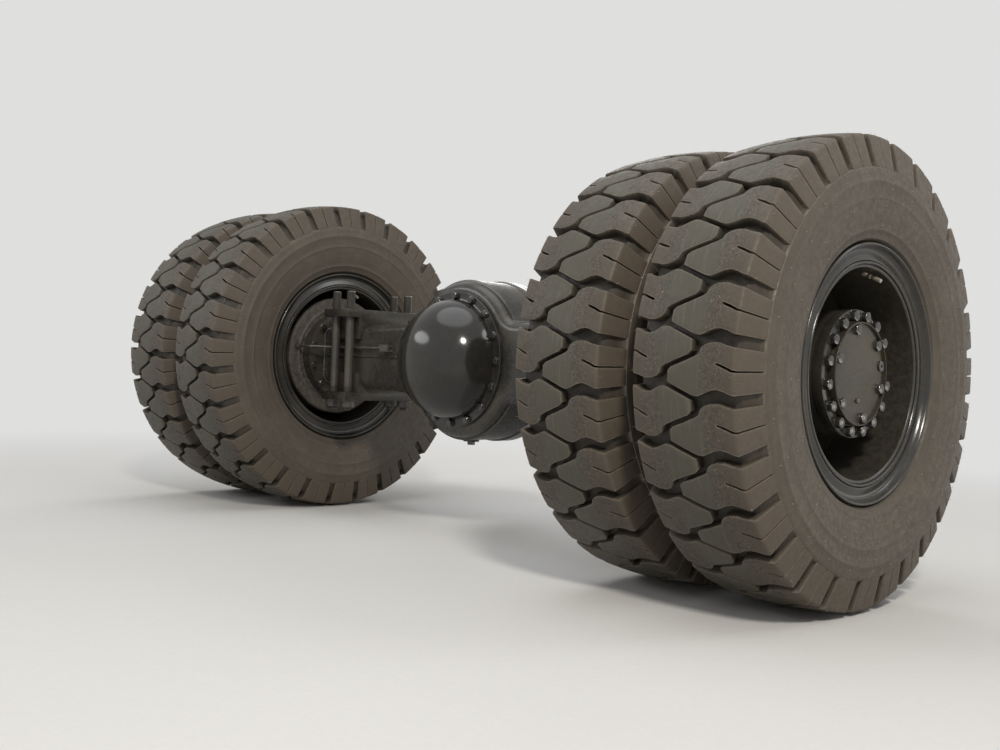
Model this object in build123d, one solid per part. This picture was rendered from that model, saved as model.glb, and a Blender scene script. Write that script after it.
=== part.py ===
from build123d import *
from math import cos, pi, radians, sin
import os

os.makedirs("parts", exist_ok=True)

# Drive axle with twin wheels at both ends, in millimetres.
# +X points along the vehicle to its drive shaft, +Y along the axle to the left wheels, +Z up.
# The pieces are modelled round the axle's centre and lowered by axle_drop when they are written,
# so the origin is the middle of the chassis studs, on the plane of the chassis pads' tops.
axle_drop = 165.0
track_half = 1051.0
twin_spacing = 362.0

# Clearances: between pieces that seat on each other, in a bearing, and between moving pieces
seat_gap = 0.3
running_gap = 0.05
moving_gap = 7.0

# Rims: w is the distance from a wheel's own centre plane, positive on the side of its loose ring
rim_seat_radius = 257.0
rim_half_seat = 108.0
rim_base_wall = 8.0
flange_height = 51.0
flange_curl = 19.0
flange_lean = 10.0
flange_lip = 17.0
flange_wall = 9.0
rim_open_end = 117.0
lock_ring_height = 17.0
lock_ring_step = 6.0
lock_ring_crown = 4.5
lock_ring_toe = 3.0
disc_thickness = 14.0
disc_cone_start = 62.0
disc_cone_wall = 28.0
disc_flat_rim = 6.0
valve_radius = 5.5
valve_start = 73.0
valve_length = 50.0
valve_root = 25.0
valve_lean = 24.0
valve_turn = 76.0

# Tyres
tyre_radius = 564.0
crown_drop = 10.0
tread_half_width = 130.0
tyre_half_section = 157.5
bulge_above_flange = 114.0
pitch_count = 28
groove_width = 28.0
groove_depth = 27.0
groove_start = 42.0
groove_foot = 48.0
groove_corner = 7.0

# Hub, brake drum and final drive
rim_drum_gap = 43.0
hub_barrel_length = 259.0
hub_flange_thickness = 24.0
hub_inner_radius = 110.0
hub_inner_length = 50.0
hub_wall = 32.0
wheel_stud_inset = 35.0
hub_flange_rim = 23.0
drum_wall = 15.0
drum_web = 14.0
drum_width = 213.0
drum_mouth_gap = 8.0
hub_ring_lip = 2.0
hub_ring_thickness = 26.0
hub_cover_thickness = 18.0
hub_cover_recess = 8.5
hub_cover_rim = 4.0
hub_cover_chamfer = 1.5
hub_cover_gap = 3.0

# Spindles and brake backing plates
spindle_flange_radius = 160.0
spindle_flange_thickness = 22.0
spindle_neck_radius = 88.0
spindle_bore = 38.0
inner_bearing_radius = 75.0
outer_bearing_radius = 60.0
bearing_width = 34.0
inner_bearing_inset = 14.0
spindle_end_inset = 34.0
backing_plate_thickness = 10.0
backing_edge = 4.0
backing_overlap = 14.0

# Axle housing
housing_half_depth = 95.0
arm_root = 300.0
arm_root_half_height = 118.0
arm_end_half_height = 98.0
arm_edge_round = 30.0
eye_radius = 250.0
eye_step = 8.0
eye_step_place = -60.0
eye_flange_lip = 13.0
eye_flange_thickness = 22.0
eye_corner_round = 70.0
drain_boss_radius = 26.0
drain_boss_height = 13.0
drain_place = -16.0

# Rear dome, carrier, pinion cage and input flange
dome_flange_thickness = 12.0
dome_depth = 168.0
dome_bands = 6
carrier_flange_thickness = 24.0
carrier_neck_radius = 112.0
carrier_length = 205.0
carrier_rib_thickness = 12.0
carrier_rib_count = 6
carrier_rib_height = 12.0
carrier_root_inset = 20.0
cage_flange_thickness = 18.0
cage_length = 34.0
cage_radius = 88.0
cage_bolt_gap = 6.0
pinion_radius = 34.0
input_hub_radius = 52.0
input_hub_length = 40.0
input_flange_thickness = 14.0
input_bolt_circle = 77.75
input_bolt_hole = 6.25
input_bolt_count = 8
input_edge = 12.25
input_register_radius = 45.0
input_register_height = 3.0

# Chassis pads, saddles and their studs
pad_inset = 158.0
pad_half_width = 72.0
pad_plate = 28.0
cheek_wall = 14.0
cheek_reach = 15.0
saddle_depth = 52.0
saddle_plate = 28.0
stud_radius = 15.0
stud_clear = 4.0
stud_spread = 84.0
stud_edge = 32.0
stud_above = 64.0
stud_below = 10.0
stud_nut_flats = 46.0
stud_nut_height = 26.0

# Bolts and plugs: width across flats and height of their heads
hub_bolt_count, hub_bolt_flats, hub_bolt_height = 16, 24.0, 15.0
socket_plug_radius, socket_plug_flats, socket_plug_height = 10.0, 8.0, 3.0
cover_bolt_count, cover_bolt_flats, cover_bolt_height = 6, 24.0, 9.0
cover_bolt_turn = 78.75
# Level plug and screw on the cover: inset of their centres from its bolt circle, turn, radius and height
cover_plugs = [(0.0, 11.25, 13.0, 5.0), (42.0, -94.0, 6.0, 5.0)]
wheel_nut_count, wheel_nut_flats, wheel_nut_height = 12, 33.0, 26.0
eye_bolt_count, eye_bolt_flats, eye_bolt_height = 16, 22.0, 11.0
cage_bolt_count, cage_bolt_flats, cage_bolt_height = 8, 19.0, 10.0
end_bolt_count, end_bolt_flats, end_bolt_height = 12, 19.0, 10.0
bolt_rim = 2.0
flange_rim = 4.0

# Brake pipes, their port blocks and the breather
pipe_radius = 4.0
pipe_height = 30.0
pipe_off_arm = 10.0
pipe_bend = 18.0
port_block = 24.0
port_block_length = 44.0
port_radius = 5.0
port_depth = 12.0
fitting_flats = 17.0
fitting_height = 14.0
breather_inset = 40.0
breather_cap_radius = 13.0
breather_boss_radius = 18.0
breather_boss_height = 6.0

# Radii that follow from the sizes above
rim_inner_radius = rim_seat_radius - rim_base_wall
rim_flange_radius = rim_seat_radius + flange_height
rim_bend_radius = rim_flange_radius - flange_curl
drum_radius = rim_inner_radius - rim_drum_gap
hub_flange_radius = drum_radius + bolt_rim
wheel_stud_circle = hub_flange_radius - hub_flange_rim
hub_barrel_radius = wheel_stud_circle - wheel_stud_inset
hub_ring_radius = hub_barrel_radius + hub_ring_lip
hub_bolt_circle = hub_ring_radius - hub_bolt_flats / 2 - bolt_rim
hub_cover_radius = hub_bolt_circle - hub_bolt_flats / 2 - hub_cover_gap
cover_bolt_circle = hub_cover_radius - hub_cover_rim - cover_bolt_flats / 2 - bolt_rim
eye_flange_radius = eye_radius + eye_flange_lip
dome_flange_radius = eye_radius - arm_edge_round - flange_rim
dome_bolt_circle = dome_flange_radius - eye_bolt_flats / 2 - bolt_rim
dome_radius = dome_bolt_circle - eye_bolt_flats / 2 - bolt_rim
carrier_bolt_circle = eye_flange_radius - eye_bolt_flats / 2 - flange_rim
carrier_root_radius = carrier_bolt_circle - eye_bolt_flats / 2 - carrier_root_inset
cage_bolt_circle = cage_radius + cage_bolt_flats / 2 + cage_bolt_gap
cage_flange_radius = cage_bolt_circle + cage_bolt_flats / 2 + flange_rim
input_flange_radius = input_bolt_circle + input_edge
end_bolt_circle = spindle_flange_radius - end_bolt_flats / 2 - flange_rim
backing_inner_radius = drum_radius + moving_gap

# Planes along the axle, from the wheels inwards, and from the wheels outwards
hub_flange_outer = track_half - disc_thickness
hub_flange_inner = hub_flange_outer - hub_flange_thickness
drum_mouth = hub_flange_inner - drum_width
backing_outer = drum_mouth - drum_mouth_gap
spindle_flange_outer = backing_outer - backing_plate_thickness
spindle_flange_inner = spindle_flange_outer - spindle_flange_thickness
arm_end = spindle_flange_inner - spindle_flange_thickness
pad_centre = arm_end - pad_inset
nut_face = track_half + disc_thickness
ring_base = hub_flange_outer + hub_barrel_length
ring_face = ring_base + hub_ring_thickness
cover_face = ring_face + hub_cover_thickness
cover_floor = cover_face - hub_cover_recess
spindle_end = ring_base - spindle_end_inset
inner_bearing = hub_flange_inner - hub_inner_length + inner_bearing_inset
outer_bearing = spindle_end - bearing_width - moving_gap
wheel_planes = {"inner": track_half - twin_spacing / 2, "outer": track_half + twin_spacing / 2}

# Planes along X and heights
dome_face = -housing_half_depth - dome_flange_thickness
carrier_face = housing_half_depth + carrier_flange_thickness
cage_base = housing_half_depth + carrier_length
cage_face = cage_base + cage_flange_thickness
input_back = cage_base + cage_length + moving_gap
input_face = input_back + input_hub_length
stud_x = housing_half_depth + cheek_wall + stud_clear + stud_radius
pad_half_depth = stud_x + stud_edge
breather_place = arm_root + breather_inset
breather_face = arm_root_half_height + breather_boss_height


def turned(points, axis=Axis.Y):
    """A ring or disc about the axle or about X, from its half section as (radius, place on the axis)."""
    section = [(r, p) if axis == Axis.Y else (p, r) for r, p in points]
    return revolve(make_face(Polyline(*section, close=True)), axis)


def rod(radius, start, end, axis=Axis.Y):
    return turned([(0, start), (radius, start), (radius, end), (0, end)], axis)


def end_plane(along, place, outward):
    """The plane across an axis at a place, facing up or down that axis."""
    if along == "X":
        return Plane(origin=(place, 0, 0), x_dir=(0, 1, 0), z_dir=(outward, 0, 0))
    return Plane(origin=(0, place, 0), x_dir=(1, 0, 0), z_dir=(0, outward, 0))


def hexagon(flats):
    return RegularPolygon(flats / 2, 6, major_radius=False)


def hex_heads(plane, circle, count, flats, height, first=0.0):
    """Hexagon heads or nuts on a bolt circle, standing on a plane."""
    places = PolarLocations(circle, count, start_angle=first)
    return [extrude(plane * place * hexagon(flats), height) for place in places]


def arm_half_height(y):
    share = (y - arm_root) / (arm_end - arm_root)
    return arm_root_half_height + share * (arm_end_half_height - arm_root_half_height)


# Axle housing: a banjo with tapering arms, a round eye and an end flange on each arm
def axle_housing():
    quarter = [(arm_root, arm_root_half_height), (arm_end, arm_end_half_height)]
    right = quarter + [(y, -z) for y, z in reversed(quarter)]
    arms = make_face(Polyline(*right, *[(-y, z) for y, z in reversed(right)], close=True))
    front = arms + Circle(eye_radius)
    inner_corners = [v for v in front.vertices() if abs(v.X) < arm_root]
    front = fillet(inner_corners, eye_corner_round)
    body = extrude(Plane.YZ * front, housing_half_depth, both=True)
    rims = body.faces().sort_by(Axis.X)[0].edges() + body.faces().sort_by(Axis.X)[-1].edges()
    body = fillet([edge for edge in rims if abs(edge.center().Y) < arm_end - 1], arm_edge_round)
    flange_start = housing_half_depth - eye_flange_thickness
    body += rod(eye_radius + eye_step, eye_step_place, flange_start, Axis.X)
    body += rod(eye_flange_radius, flange_start, housing_half_depth, Axis.X)
    body += Pos(drain_place, 0, -eye_radius - drain_boss_height / 2) * Cylinder(
        drain_boss_radius, drain_boss_height
    )
    body += Pos(0, -breather_place, breather_face / 2) * Cylinder(breather_boss_radius, breather_face)
    for side in (-1, 1):
        body += rod(spindle_flange_radius, *sorted((side * arm_end, side * spindle_flange_inner)))
    return body


# Rear dome: a bowl on a flat bolted flange, on the side away from the drive shaft
def rear_dome():
    turns = [pi / 2 * band / dome_bands for band in range(dome_bands + 1)]
    bowl = [(dome_radius * cos(turn), dome_face - dome_depth * sin(turn)) for turn in turns]
    flange = [(dome_flange_radius, -housing_half_depth), (dome_flange_radius, dome_face)]
    return turned([(0, -housing_half_depth)] + flange + bowl, Axis.X)


# Carrier: a ribbed cone from the housing's eye to the pinion cage
def diff_carrier():
    neck_end = cage_base - cage_flange_thickness
    body = turned(
        [
            (0, housing_half_depth),
            (eye_flange_radius, housing_half_depth),
            (eye_flange_radius, carrier_face),
            (carrier_root_radius, carrier_face),
            (carrier_neck_radius, neck_end),
            (cage_flange_radius, neck_end),
            (cage_flange_radius, cage_base),
            (0, cage_base),
        ],
        Axis.X,
    )
    rib_foot = carrier_root_radius + carrier_rib_height
    rib = make_face(
        Polyline(
            (housing_half_depth, 0),
            (housing_half_depth, rib_foot),
            (carrier_face + carrier_rib_height, rib_foot),
            (neck_end, carrier_neck_radius + carrier_rib_height),
            (neck_end, 0),
            close=True,
        )
    )
    rib = extrude(rib, carrier_rib_thickness / 2, both=True)
    return body.fuse(*[Rot(X=360 * (n + 0.5) / carrier_rib_count) * rib for n in range(carrier_rib_count)])


def pinion_cage():
    bore = pinion_radius + running_gap
    cage_end = cage_base + cage_length
    return turned(
        [
            (bore, cage_base),
            (cage_flange_radius, cage_base),
            (cage_flange_radius, cage_face),
            (cage_radius, cage_face),
            (cage_radius, cage_end),
            (bore, cage_end),
        ],
        Axis.X,
    )


# Input flange: the round coupling on the pinion, whose shaft runs in the cage
def input_flange():
    body = turned(
        [
            (0, cage_base + seat_gap),
            (pinion_radius, cage_base + seat_gap),
            (pinion_radius, input_back),
            (input_hub_radius, input_back),
            (input_hub_radius, input_face - input_flange_thickness),
            (input_flange_radius, input_face - input_flange_thickness),
            (input_flange_radius, input_face),
            (input_register_radius, input_face),
            (input_register_radius, input_face + input_register_height),
            (0, input_face + input_register_height),
        ],
        Axis.X,
    )
    face = end_plane("X", input_face, -1)
    places = PolarLocations(input_bolt_circle, input_bolt_count, start_angle=180 / input_bolt_count)
    for place in places:
        body -= extrude(face * place * Circle(input_bolt_hole), input_flange_thickness)
    return body


# Clamp: a pad above the arm, a saddle below it, and four studs through both
def slab(half_depth, low, high):
    box = Box(2 * half_depth, 2 * pad_half_width, high - low)
    return Pos(0, pad_centre, (low + high) / 2) * box


def arm_seat():
    """The arm with a seat gap round it, which the pad and the saddle are hollowed by."""
    sections = []
    for y in (pad_centre - 2 * pad_half_width, pad_centre + 2 * pad_half_width):
        width = 2 * (housing_half_depth + seat_gap)
        height = 2 * (arm_half_height(y) + seat_gap)
        sections.append(end_plane("Y", y, 1) * RectangleRounded(width, height, arm_edge_round + seat_gap))
    return loft(sections)


def stud_places():
    corners = GridLocations(2 * stud_x, stud_spread, 2, 2)
    return [Pos(0, pad_centre, 0) * corner for corner in corners]


def stud_holes():
    return [place * Cylinder(stud_radius + seat_gap, 4 * axle_drop) for place in stud_places()]


def chassis_pad():
    cheek_low = arm_half_height(pad_centre) - arm_edge_round - cheek_reach
    plate = slab(pad_half_depth, axle_drop - pad_plate, axle_drop)
    block = slab(housing_half_depth + cheek_wall, cheek_low, axle_drop - pad_plate)
    return (plate + block) - arm_seat() - stud_holes()


def clamp_saddle():
    cheek_high = -arm_half_height(pad_centre) + arm_edge_round + cheek_reach
    low = -arm_half_height(pad_centre) - saddle_depth
    plate = slab(pad_half_depth, low, low + saddle_plate)
    block = slab(housing_half_depth + cheek_wall, low + saddle_plate, cheek_high)
    return (plate + block) - arm_seat() - stud_holes()


def clamp_studs():
    face = -arm_half_height(pad_centre) - saddle_depth
    low = face - stud_nut_height - stud_below
    studs = []
    for place in stud_places():
        stud = extrude(Pos(0, 0, low) * place * Circle(stud_radius), axle_drop + stud_above - low)
        nut = extrude(Pos(0, 0, face) * place * hexagon(stud_nut_flats), -stud_nut_height)
        studs.append(stud + nut)
    return studs


# Spindle and brake
def spindle():
    shoulder = inner_bearing - bearing_width
    return turned(
        [
            (spindle_bore, spindle_flange_inner),
            (spindle_flange_radius, spindle_flange_inner),
            (spindle_flange_radius, spindle_flange_outer),
            (spindle_neck_radius, spindle_flange_outer),
            (spindle_neck_radius, shoulder),
            (inner_bearing_radius, shoulder),
            (inner_bearing_radius, inner_bearing + bearing_width + moving_gap),
            (outer_bearing_radius, outer_bearing - moving_gap),
            (outer_bearing_radius, spindle_end),
            (spindle_bore, spindle_end),
        ]
    )


def brake_backing():
    """The plate that closes the drum's inner side, with its edge turned over the drum."""
    bore = spindle_neck_radius + seat_gap
    edge_radius = backing_inner_radius + backing_edge
    return turned(
        [
            (bore, spindle_flange_outer),
            (edge_radius, spindle_flange_outer),
            (edge_radius, drum_mouth + backing_overlap),
            (backing_inner_radius, drum_mouth + backing_overlap),
            (backing_inner_radius, backing_outer),
            (bore, backing_outer),
        ]
    )


def brake_drum():
    bore = hub_inner_radius + seat_gap
    web_face = hub_flange_inner - drum_web
    return turned(
        [
            (drum_radius, drum_mouth),
            (drum_radius, hub_flange_inner),
            (bore, hub_flange_inner),
            (bore, web_face),
            (drum_radius - drum_wall, web_face),
            (drum_radius - drum_wall, drum_mouth),
        ]
    )


def brake_pipe():
    """A port block on the arm, and a pipe from it round the end flange to the backing plate."""
    block_start = arm_root + arm_edge_round
    run_start = block_start + port_block_length
    near = -housing_half_depth - pipe_off_arm
    far = -(spindle_flange_radius + backing_inner_radius) / 2
    flange_bend = arm_end - 2 * pipe_bend
    path = FilletPolyline(
        (near, run_start, pipe_height),
        (near, flange_bend - 2 * pipe_bend, pipe_height),
        (far, flange_bend, pipe_height),
        (far, spindle_flange_outer, pipe_height),
        radius=pipe_bend,
    )
    pipe = sweep(Plane(origin=path @ 0, z_dir=path % 0) * Circle(pipe_radius), path)
    block_y = block_start + port_block_length / 2
    block = Pos(-housing_half_depth - port_block / 2, block_y, pipe_height) * Box(
        port_block, port_block_length, port_block
    )
    nuts = []
    for x, y, outward in ((near, run_start, 1), (far, spindle_flange_outer, -1)):
        place = Pos(x, -outward * pipe_height)
        nuts.append(extrude(end_plane("Y", y, outward) * place * hexagon(fitting_flats), fitting_height))
    port = end_plane("Y", block_start, 1) * Pos(near, -pipe_height) * Circle(port_radius)
    return block.fuse(pipe, *nuts) - extrude(port, port_depth)


# Hub and final drive: the flange carries the drum and both discs, the barrel carries the end ring
def hub():
    cavity = hub_barrel_radius - hub_wall
    inner_bore = inner_bearing_radius + running_gap
    outer_bore = outer_bearing_radius + running_gap
    return turned(
        [
            (inner_bearing_radius + moving_gap, hub_flange_inner - hub_inner_length),
            (hub_inner_radius, hub_flange_inner - hub_inner_length),
            (hub_inner_radius, hub_flange_inner),
            (hub_flange_radius, hub_flange_inner),
            (hub_flange_radius, hub_flange_outer),
            (hub_barrel_radius, hub_flange_outer),
            (hub_barrel_radius, ring_base),
            (cavity, ring_base),
            (cavity, outer_bearing + bearing_width),
            (outer_bore, outer_bearing + bearing_width),
            (outer_bore, outer_bearing),
            (cavity, outer_bearing),
            (cavity, inner_bearing + bearing_width),
            (inner_bore, inner_bearing + bearing_width),
            (inner_bore, inner_bearing),
            (inner_bearing_radius + moving_gap, inner_bearing),
        ]
    )


def hub_ring():
    bore = cover_bolt_circle - cover_bolt_flats
    return turned(
        [(bore, ring_base), (hub_ring_radius, ring_base), (hub_ring_radius, ring_face), (bore, ring_face)]
    )


def hub_ring_bolts():
    """The ring's bolts, with a low socket plug in the last place."""
    face = end_plane("Y", ring_face, 1)
    half_pitch = 180 / hub_bolt_count
    bolts = hex_heads(face, hub_bolt_circle, hub_bolt_count, hub_bolt_flats, hub_bolt_height, half_pitch)
    place = Pos(hub_bolt_circle * cos(radians(half_pitch)), hub_bolt_circle * -sin(radians(half_pitch)))
    plug = Circle(socket_plug_radius) - hexagon(socket_plug_flats)
    return bolts[:-1] + [extrude(face * place * plug, socket_plug_height)]


def hub_cover():
    """A round cover with a raised rim round its bolts."""
    edge = hub_cover_chamfer
    recess_radius = hub_cover_radius - hub_cover_rim
    return turned(
        [
            (0, ring_face),
            (hub_cover_radius, ring_face),
            (hub_cover_radius, cover_face - edge),
            (hub_cover_radius - edge, cover_face),
            (recess_radius, cover_face),
            (recess_radius, cover_floor),
            (0, cover_floor),
        ]
    )


def hub_cover_bolts():
    """The cover's bolts, with its oil level plug and its small screw."""
    face = end_plane("Y", cover_floor, 1)
    bolts = hex_heads(
        face, cover_bolt_circle, cover_bolt_count, cover_bolt_flats, cover_bolt_height, cover_bolt_turn
    )
    for inset, turn, radius, height in cover_plugs:
        circle = cover_bolt_circle - inset
        place = Pos(circle * cos(radians(turn)), -circle * sin(radians(turn)))
        bolts.append(extrude(face * place * Circle(radius), height))
    return bolts


# Wheels: the inner wheel is the outer one turned round, so both discs meet at the same plane
def placed(kind, points):
    turn = 1 if kind == "outer" else -1
    return turned([(radius, wheel_planes[kind] + turn * w) for radius, w in points])


def flange(side):
    """The curled flange's section from its foot on the rim's seat to the inside of its lip."""
    return [
        (rim_bend_radius, side * rim_half_seat),
        (rim_flange_radius, side * (rim_half_seat + flange_lean)),
        (rim_flange_radius, side * (rim_half_seat + flange_lean + flange_lip)),
        (rim_flange_radius - flange_wall, side * (rim_half_seat + flange_lean + flange_lip)),
    ]


def rim(kind):
    """The rim's base with its fixed flange, and the disc that joins it to the hub."""
    mate = -twin_spacing / 2
    return placed(
        kind,
        [
            (rim_seat_radius, -rim_half_seat),
            *flange(-1),
            (rim_inner_radius, -rim_half_seat - flange_wall),
            (rim_inner_radius, -disc_cone_start - disc_cone_wall),
            (hub_flange_radius + disc_flat_rim, mate),
            (hub_barrel_radius + seat_gap, mate),
            (hub_barrel_radius + seat_gap, mate + disc_thickness),
            (hub_flange_radius, mate + disc_thickness),
            (rim_inner_radius, -disc_cone_start),
            (rim_inner_radius, rim_open_end),
            (rim_seat_radius, rim_open_end),
        ],
    )


def side_ring(kind):
    """The loose flange, with the lock ring that holds it on the rim's open end."""
    seat = rim_seat_radius + seat_gap
    return placed(
        kind,
        [
            (seat, rim_half_seat),
            *flange(1),
            (seat + lock_ring_height, rim_open_end + lock_ring_crown),
            (seat + lock_ring_step, rim_open_end + lock_ring_toe),
            (seat, rim_open_end),
        ],
    )


def tyre(kind):
    """A tyre in as many flats as it has lugs, notched over both shoulders, one side half a pitch on."""
    plane_y = wheel_planes[kind]
    bead = rim_half_seat - seat_gap
    bulge_radius = rim_flange_radius + bulge_above_flange
    shoulder_radius = tyre_radius - crown_drop
    # Crown and sidewalls: radius of the flats, distance w from the centre plane
    crown = [
        (bulge_radius, -tyre_half_section),
        (shoulder_radius, -tread_half_width),
        (tyre_radius, 0),
        (shoulder_radius, tread_half_width),
        (bulge_radius, tyre_half_section),
    ]

    def flats(radius, w):
        outline = RegularPolygon(radius, pitch_count, major_radius=False)
        return end_plane("Y", plane_y + w, 1) * outline

    def band(start, end):
        return loft([flats(*start), flats(*end)], ruled=True)

    bands = [band(start, end) for start, end in zip(crown, crown[1:])]
    body = bands[0].fuse(*bands[1:])
    for side in (-1, 1):
        body -= band((rim_bend_radius, side * bead), (bulge_radius, side * tyre_half_section))
    seat_radius = rim_seat_radius + seat_gap
    body -= band((seat_radius, -tyre_half_section), (seat_radius, tyre_half_section))
    floor = tyre_radius - groove_depth
    foot_radius = bulge_radius + groove_foot
    notch_outline = [
        (tyre_radius + groove_depth, groove_start),
        (floor, groove_start),
        (shoulder_radius - groove_depth, tread_half_width - groove_corner),
        (foot_radius, tyre_half_section),
        (tyre_radius + groove_depth, tyre_half_section),
    ]
    notches = []
    for side in (-1, 1):
        outline = make_face(Polyline(*[(r, plane_y + side * w) for r, w in notch_outline], close=True))
        notch = extrude(outline, groove_width / 2, both=True)
        first = (side + 1) / 4
        notches += [Rot(Y=360 * (n + first) / pitch_count) * notch for n in range(pitch_count)]
    return body - notches


def valve(kind):
    """A metal stem that leans out of the rim's base towards its open side."""
    turn = 1 if kind == "outer" else -1
    start = wheel_planes[kind] + turn * valve_start
    rise, run = sin(radians(valve_lean)), turn * cos(radians(valve_lean))
    root = Plane(
        origin=(rim_inner_radius + rise * valve_root, start - run * valve_root, 0), z_dir=(-rise, run, 0)
    )
    stem = extrude(root * Circle(valve_radius), valve_root + valve_length)
    reach = sorted((start - turn * valve_length, start + turn * valve_length))
    return Rot(Y=-valve_turn) * (stem & rod(rim_inner_radius - seat_gap, *reach))


# Plugs and breather on the housing
def housing_plugs():
    boss_face = -eye_radius - drain_boss_height
    plug = extrude(Pos(drain_place, 0, boss_face) * hexagon(eye_bolt_flats), -eye_bolt_height)
    base = Pos(0, -breather_place, breather_face)
    breather = extrude(base * hexagon(cage_bolt_flats), cage_bolt_height)
    breather += extrude(base * Pos(0, 0, cage_bolt_height) * Circle(breather_cap_radius), cage_bolt_height)
    return [plug, breather]


inward, outward = -1, 1
fixed = {
    "axle_housing": axle_housing(),
    "rear_dome": rear_dome(),
    "rear_dome_bolts": hex_heads(
        end_plane("X", dome_face, inward), dome_bolt_circle, eye_bolt_count, eye_bolt_flats, eye_bolt_height
    ),
    "diff_carrier": diff_carrier(),
    "diff_carrier_bolts": hex_heads(
        end_plane("X", carrier_face, outward),
        carrier_bolt_circle, eye_bolt_count, eye_bolt_flats, eye_bolt_height, 180 / eye_bolt_count,
    ),
    "pinion_cage": pinion_cage(),
    "pinion_cage_bolts": hex_heads(
        end_plane("X", cage_face, outward), cage_bolt_circle, cage_bolt_count, cage_bolt_flats, cage_bolt_height
    ),
    "input_flange": input_flange(),
    "housing_plugs": housing_plugs(),
}

# One end's pieces, built on the left and mirrored for the right
ends = {
    "chassis_pad": chassis_pad(),
    "clamp_saddle": clamp_saddle(),
    "clamp_studs": clamp_studs(),
    "spindle": spindle(),
    "end_flange_bolts": hex_heads(
        end_plane("Y", arm_end, inward), end_bolt_circle, end_bolt_count, end_bolt_flats, end_bolt_height,
        180 / end_bolt_count,
    ),
    "brake_backing": brake_backing(),
    "brake_pipe": brake_pipe(),
    "brake_drum": brake_drum(),
    "hub": hub(),
    "hub_ring": hub_ring(),
    "hub_ring_bolts": hub_ring_bolts(),
    "hub_cover": hub_cover(),
    "hub_cover_bolts": hub_cover_bolts(),
    "wheel_nuts": hex_heads(
        end_plane("Y", nut_face, outward), wheel_stud_circle, wheel_nut_count, wheel_nut_flats, wheel_nut_height
    ),
}
for kind in wheel_planes:
    ends[f"{kind}_rim"] = rim(kind)
    ends[f"{kind}_side_ring"] = side_ring(kind)
    ends[f"{kind}_tyre"] = tyre(kind)
    ends[f"{kind}_valve"] = valve(kind)


def write(name, solids):
    """Write a piece, or a list of like pieces, at its place below the chassis pads."""
    shape = Compound(solids) if isinstance(solids, list) else solids
    export_step(Pos(0, 0, -axle_drop) * shape, f"parts/{name}.step")


for name, solids in fixed.items():
    write(name, solids)
for name, solids in ends.items():
    write(f"left_{name}", solids)
    pieces = solids if isinstance(solids, list) else [solids]
    write(f"right_{name}", [mirror(piece, about=Plane.XZ) for piece in pieces])
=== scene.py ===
import math
import random

import bmesh
import bpy
import numpy as np
from mathutils import Matrix, Vector


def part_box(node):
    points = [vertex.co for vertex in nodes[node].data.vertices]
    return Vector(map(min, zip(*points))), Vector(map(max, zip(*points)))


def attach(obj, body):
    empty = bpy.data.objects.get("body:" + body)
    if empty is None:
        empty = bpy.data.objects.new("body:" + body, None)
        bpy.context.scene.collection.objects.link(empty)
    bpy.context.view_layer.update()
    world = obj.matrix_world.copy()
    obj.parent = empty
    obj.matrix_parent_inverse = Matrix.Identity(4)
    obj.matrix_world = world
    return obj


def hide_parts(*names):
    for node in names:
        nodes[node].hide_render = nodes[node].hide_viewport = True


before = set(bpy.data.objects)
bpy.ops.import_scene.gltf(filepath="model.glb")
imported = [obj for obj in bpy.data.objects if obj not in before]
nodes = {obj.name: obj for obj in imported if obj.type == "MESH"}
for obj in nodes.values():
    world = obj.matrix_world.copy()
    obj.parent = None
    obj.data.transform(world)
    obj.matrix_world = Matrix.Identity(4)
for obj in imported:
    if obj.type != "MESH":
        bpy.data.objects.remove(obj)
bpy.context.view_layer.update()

random.seed(12)
mm = 0.001
axleHeight = -0.165  # the axle line in the row's frame
groundHeight = -0.729
joinDistance = 1e-6  # points nearer than this are one
ends = {"left": 1, "right": -1}  # with the sign of Y
kinds = ("inner", "outer")
sharpAngles = {"bolts": 25.0, "pieces": 30.0, "tyres": 32.0, "welds": 60.0, "cad": 28.0}  # degrees
roundness = {"rim": 160, "plate": 144, "dome": 144, "plug": 36, "nutWasher": 32, "small": 28, "washer": 24,
             "thread": 20, "dish": 16}  # faces round a turned piece


def newMaterial(name):
    material = bpy.data.materials.new(name)
    material.use_nodes = True
    tree = material.node_tree
    tree.nodes.clear()
    return material, tree


def feed(tree, socket, value):
    if isinstance(value, bpy.types.NodeSocket):
        tree.links.new(value, socket)
    else:
        socket.default_value = value


def add(tree, kind, settings=None, **inputs):
    made = tree.nodes.new("ShaderNode" + kind)
    for key, value in (settings or {}).items():
        setattr(made, key, value)
    for key, value in inputs.items():
        feed(tree, made.inputs[key.replace("_", " ")], value)
    return made


def mixColour(tree, factor, first, second):
    made = add(tree, "Mix", {"data_type": "RGBA"})
    for index, value in ((0, factor), (6, first), (7, second)):
        feed(tree, made.inputs[index], (*value, 1) if isinstance(value, tuple) else value)
    return made.outputs[2]


def mathNode(tree, operation, *values, kind="Math"):
    made = add(tree, kind, {"operation": operation})
    for socket, value in zip(made.inputs, values):
        feed(tree, socket, value)
    return made.outputs["Value" if operation == "LENGTH" else 0]


def times(tree, first, second):
    return mathNode(tree, "MULTIPLY", first, second)


def plus(tree, first, second):
    return mathNode(tree, "ADD", first, second)


def lengthOf(tree, vector):
    return mathNode(tree, "LENGTH", vector, kind="VectorMath")


def scaledPlace(tree, place, shares):
    return mathNode(tree, "MULTIPLY", place, shares, kind="VectorMath")


def mixShader(tree, factor, first, second):
    made = add(tree, "MixShader", None, Fac=factor)
    tree.links.new(first.outputs[0], made.inputs[1])
    tree.links.new(second.outputs[0], made.inputs[2])
    return made


def noise(tree, place, scale, detail=4.0, roughness=0.55, distortion=0.0):
    return add(tree, "TexNoise", None, Vector=place, Scale=scale, Detail=detail, Roughness=roughness,
               Distortion=distortion).outputs["Fac"]


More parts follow.
